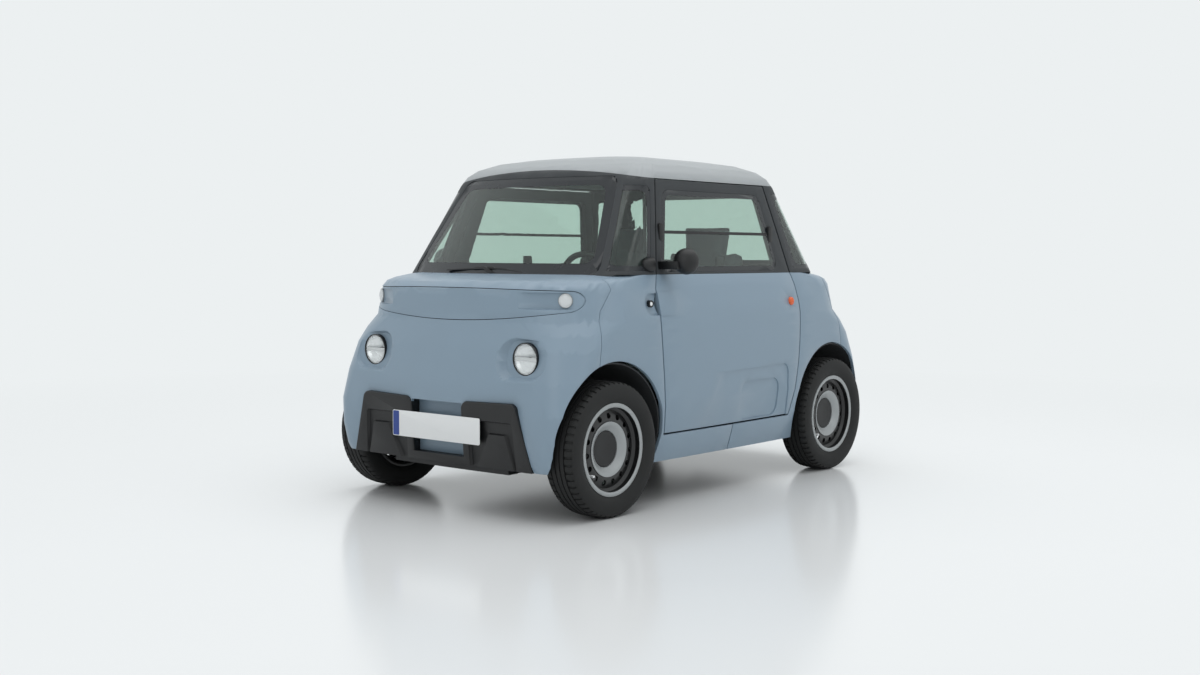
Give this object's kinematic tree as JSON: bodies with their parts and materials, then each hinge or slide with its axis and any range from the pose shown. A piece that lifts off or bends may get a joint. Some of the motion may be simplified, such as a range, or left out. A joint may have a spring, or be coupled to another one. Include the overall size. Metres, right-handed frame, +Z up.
{
  "type": "two_seat_electric_microcar",
  "caption": "Two-seat electric microcar with identical front and rear mouldings, opposed doors and a domed grey roof.",
  "frame": {"origin": "on the ground under the middle of the overall box, midway between the axles", "axes": "+Z up, nose towards -Y, the car's own left side towards +X"},
  "size_m": [1.572, 2.419, 1.5199],
  "materials": {
    "body_paint": "satin",
    "roof_paint": "satin",
    "frame_plastic": "matte",
    "black_plastic": "matte",
    "lamp_lens": "gloss",
    "amber_lens": "gloss",
    "plate_white": "gloss",
    "tinted_glass": "clear",
    "black_steel": "satin",
    "cast_metal": "cast",
    "floor_paint": "satin",
    "tyre_rubber": "matte",
    "seat_cloth": "woven"
  },
  "bodies": {
    "body": {"front_moulding": "body_paint", "rear_moulding": "body_paint", "front_band_panel": "body_paint", "rear_band_panel": "body_paint", "front_bumper_insert": "black_plastic", "rear_bumper_insert": "black_plastic", "front_lamps": "lamp_lens", "rear_lamps": "lamp_lens", "side_panel_front_left": "body_paint", "side_panel_rear_left": "body_paint", "side_panel_front_right": "body_paint", "side_panel_rear_right": "body_paint", "number_plates": "plate_white", "roof_panel": "roof_paint", "windscreen_frame": "frame_plastic", "rear_window_frame": "frame_plastic", "windscreen": "tinted_glass", "rear_window": "tinted_glass", "quarter_windows": "tinted_glass", "front_suspension": "black_steel", "steering_rack": "black_steel", "drive_unit": "cast_metal", "rear_axle": "black_steel", "wheelhouse_liners": "black_plastic", "floor_pan": "floor_paint", "chassis_frame": "black_steel", "hinge_posts": "black_steel", "dashboard": "frame_plastic", "driver_seat": "seat_cloth", "passenger_seat": "seat_cloth", "seat_base": "black_plastic", "battery": "black_plastic"},
    "door_left": {"door_panel_left": "body_paint", "door_frame_left": "frame_plastic", "door_glass_left": "tinted_glass", "door_hinges_left": "black_steel", "window_bar_left": "black_plastic", "mirror_left": "black_plastic", "side_marker_left": "amber_lens"},
    "door_right": {"door_panel_right": "body_paint", "door_frame_right": "frame_plastic", "door_glass_right": "tinted_glass", "door_hinges_right": "black_steel", "window_bar_right": "black_plastic", "mirror_right": "black_plastic", "side_marker_right": "amber_lens"},
    "knuckle_body_left": {"knuckle_left": "cast_metal"},
    "tie_rod_body_left": {"tie_rod_left": "black_steel"},
    "knuckle_body_right": {"knuckle_right": "cast_metal"},
    "tie_rod_body_right": {"tie_rod_right": "black_steel"},
    "wheel_front_left": {"tyre_front_left": "tyre_rubber", "rim_front_left": "black_steel"},
    "wheel_front_right": {"tyre_front_right": "tyre_rubber", "rim_front_right": "black_steel"},
    "wheel_rear_left": {"tyre_rear_left": "tyre_rubber", "rim_rear_left": "black_steel"},
    "wheel_rear_right": {"tyre_rear_right": "tyre_rubber", "rim_rear_right": "black_steel"},
    "steering_wheel_body": {"steering_wheel": "black_plastic"}
  },
  "joints": [
    {"name": "door_left_hinge", "type": "hinge", "parent": "body", "child": "door_left", "pos_m": [0.66, 0.586, 0.67], "axis": [0, 0, 1], "range_deg": [0, 75]},
    {"name": "door_right_hinge", "type": "hinge", "parent": "body", "child": "door_right", "pos_m": [-0.66, -0.586, 0.67], "axis": [0, 0, 1], "range_deg": [0, 75]},
    {"name": "steer_left", "type": "hinge", "parent": "body", "child": "knuckle_body_left", "pos_m": [0.53889, -0.864, 0.2785], "axis": [-0.2095, 0, 0.9778], "range_deg": [-28, 28]},
    {"name": "steer_right", "type": "hinge", "parent": "body", "child": "knuckle_body_right", "pos_m": [-0.53889, -0.864, 0.2785], "axis": [0.2095, 0, 0.9778], "range_deg": [-28, 28]},
    {"name": "tie_rod_left_pivot", "type": "hinge", "parent": "knuckle_body_left", "child": "tie_rod_body_left", "pos_m": [0.54232, -0.759, 0.2625], "axis": [-0.2095, 0, 0.9778], "range_deg": [-28, 28]},
    {"name": "tie_rod_right_pivot", "type": "hinge", "parent": "knuckle_body_right", "child": "tie_rod_body_right", "pos_m": [-0.54232, -0.759, 0.2625], "axis": [0.2095, 0, 0.9778], "range_deg": [-28, 28]},
    {"name": "steering_column", "type": "hinge", "parent": "body", "child": "steering_wheel_body", "pos_m": [0.285, -0.5, 0.915], "axis": [0, 0.8829, 0.4695], "range_deg": [-420, 420]},
    {"name": "roll_front_left", "type": "hinge", "parent": "knuckle_body_left", "child": "wheel_front_left", "pos_m": [0.6175, -0.864, 0.2785], "axis": [1, 0, 0], "continuous": true},
    {"name": "roll_front_right", "type": "hinge", "parent": "knuckle_body_right", "child": "wheel_front_right", "pos_m": [-0.6175, -0.864, 0.2785], "axis": [1, 0, 0], "continuous": true},
    {"name": "roll_rear_left", "type": "hinge", "parent": "body", "child": "wheel_rear_left", "pos_m": [0.6175, 0.864, 0.2785], "axis": [1, 0, 0], "continuous": true},
    {"name": "roll_rear_right", "type": "hinge", "parent": "body", "child": "wheel_rear_right", "pos_m": [-0.6175, 0.864, 0.2785], "axis": [1, 0, 0], "continuous": true}
  ],
  "couplings": [
    {"joint": "steer_right", "follows": "steer_left", "ratio": 1},
    {"joint": "tie_rod_left_pivot", "follows": "steer_left", "ratio": -1},
    {"joint": "tie_rod_right_pivot", "follows": "steer_left", "ratio": -1},
    {"joint": "steering_column", "follows": "steer_left", "ratio": 14}
  ]
}
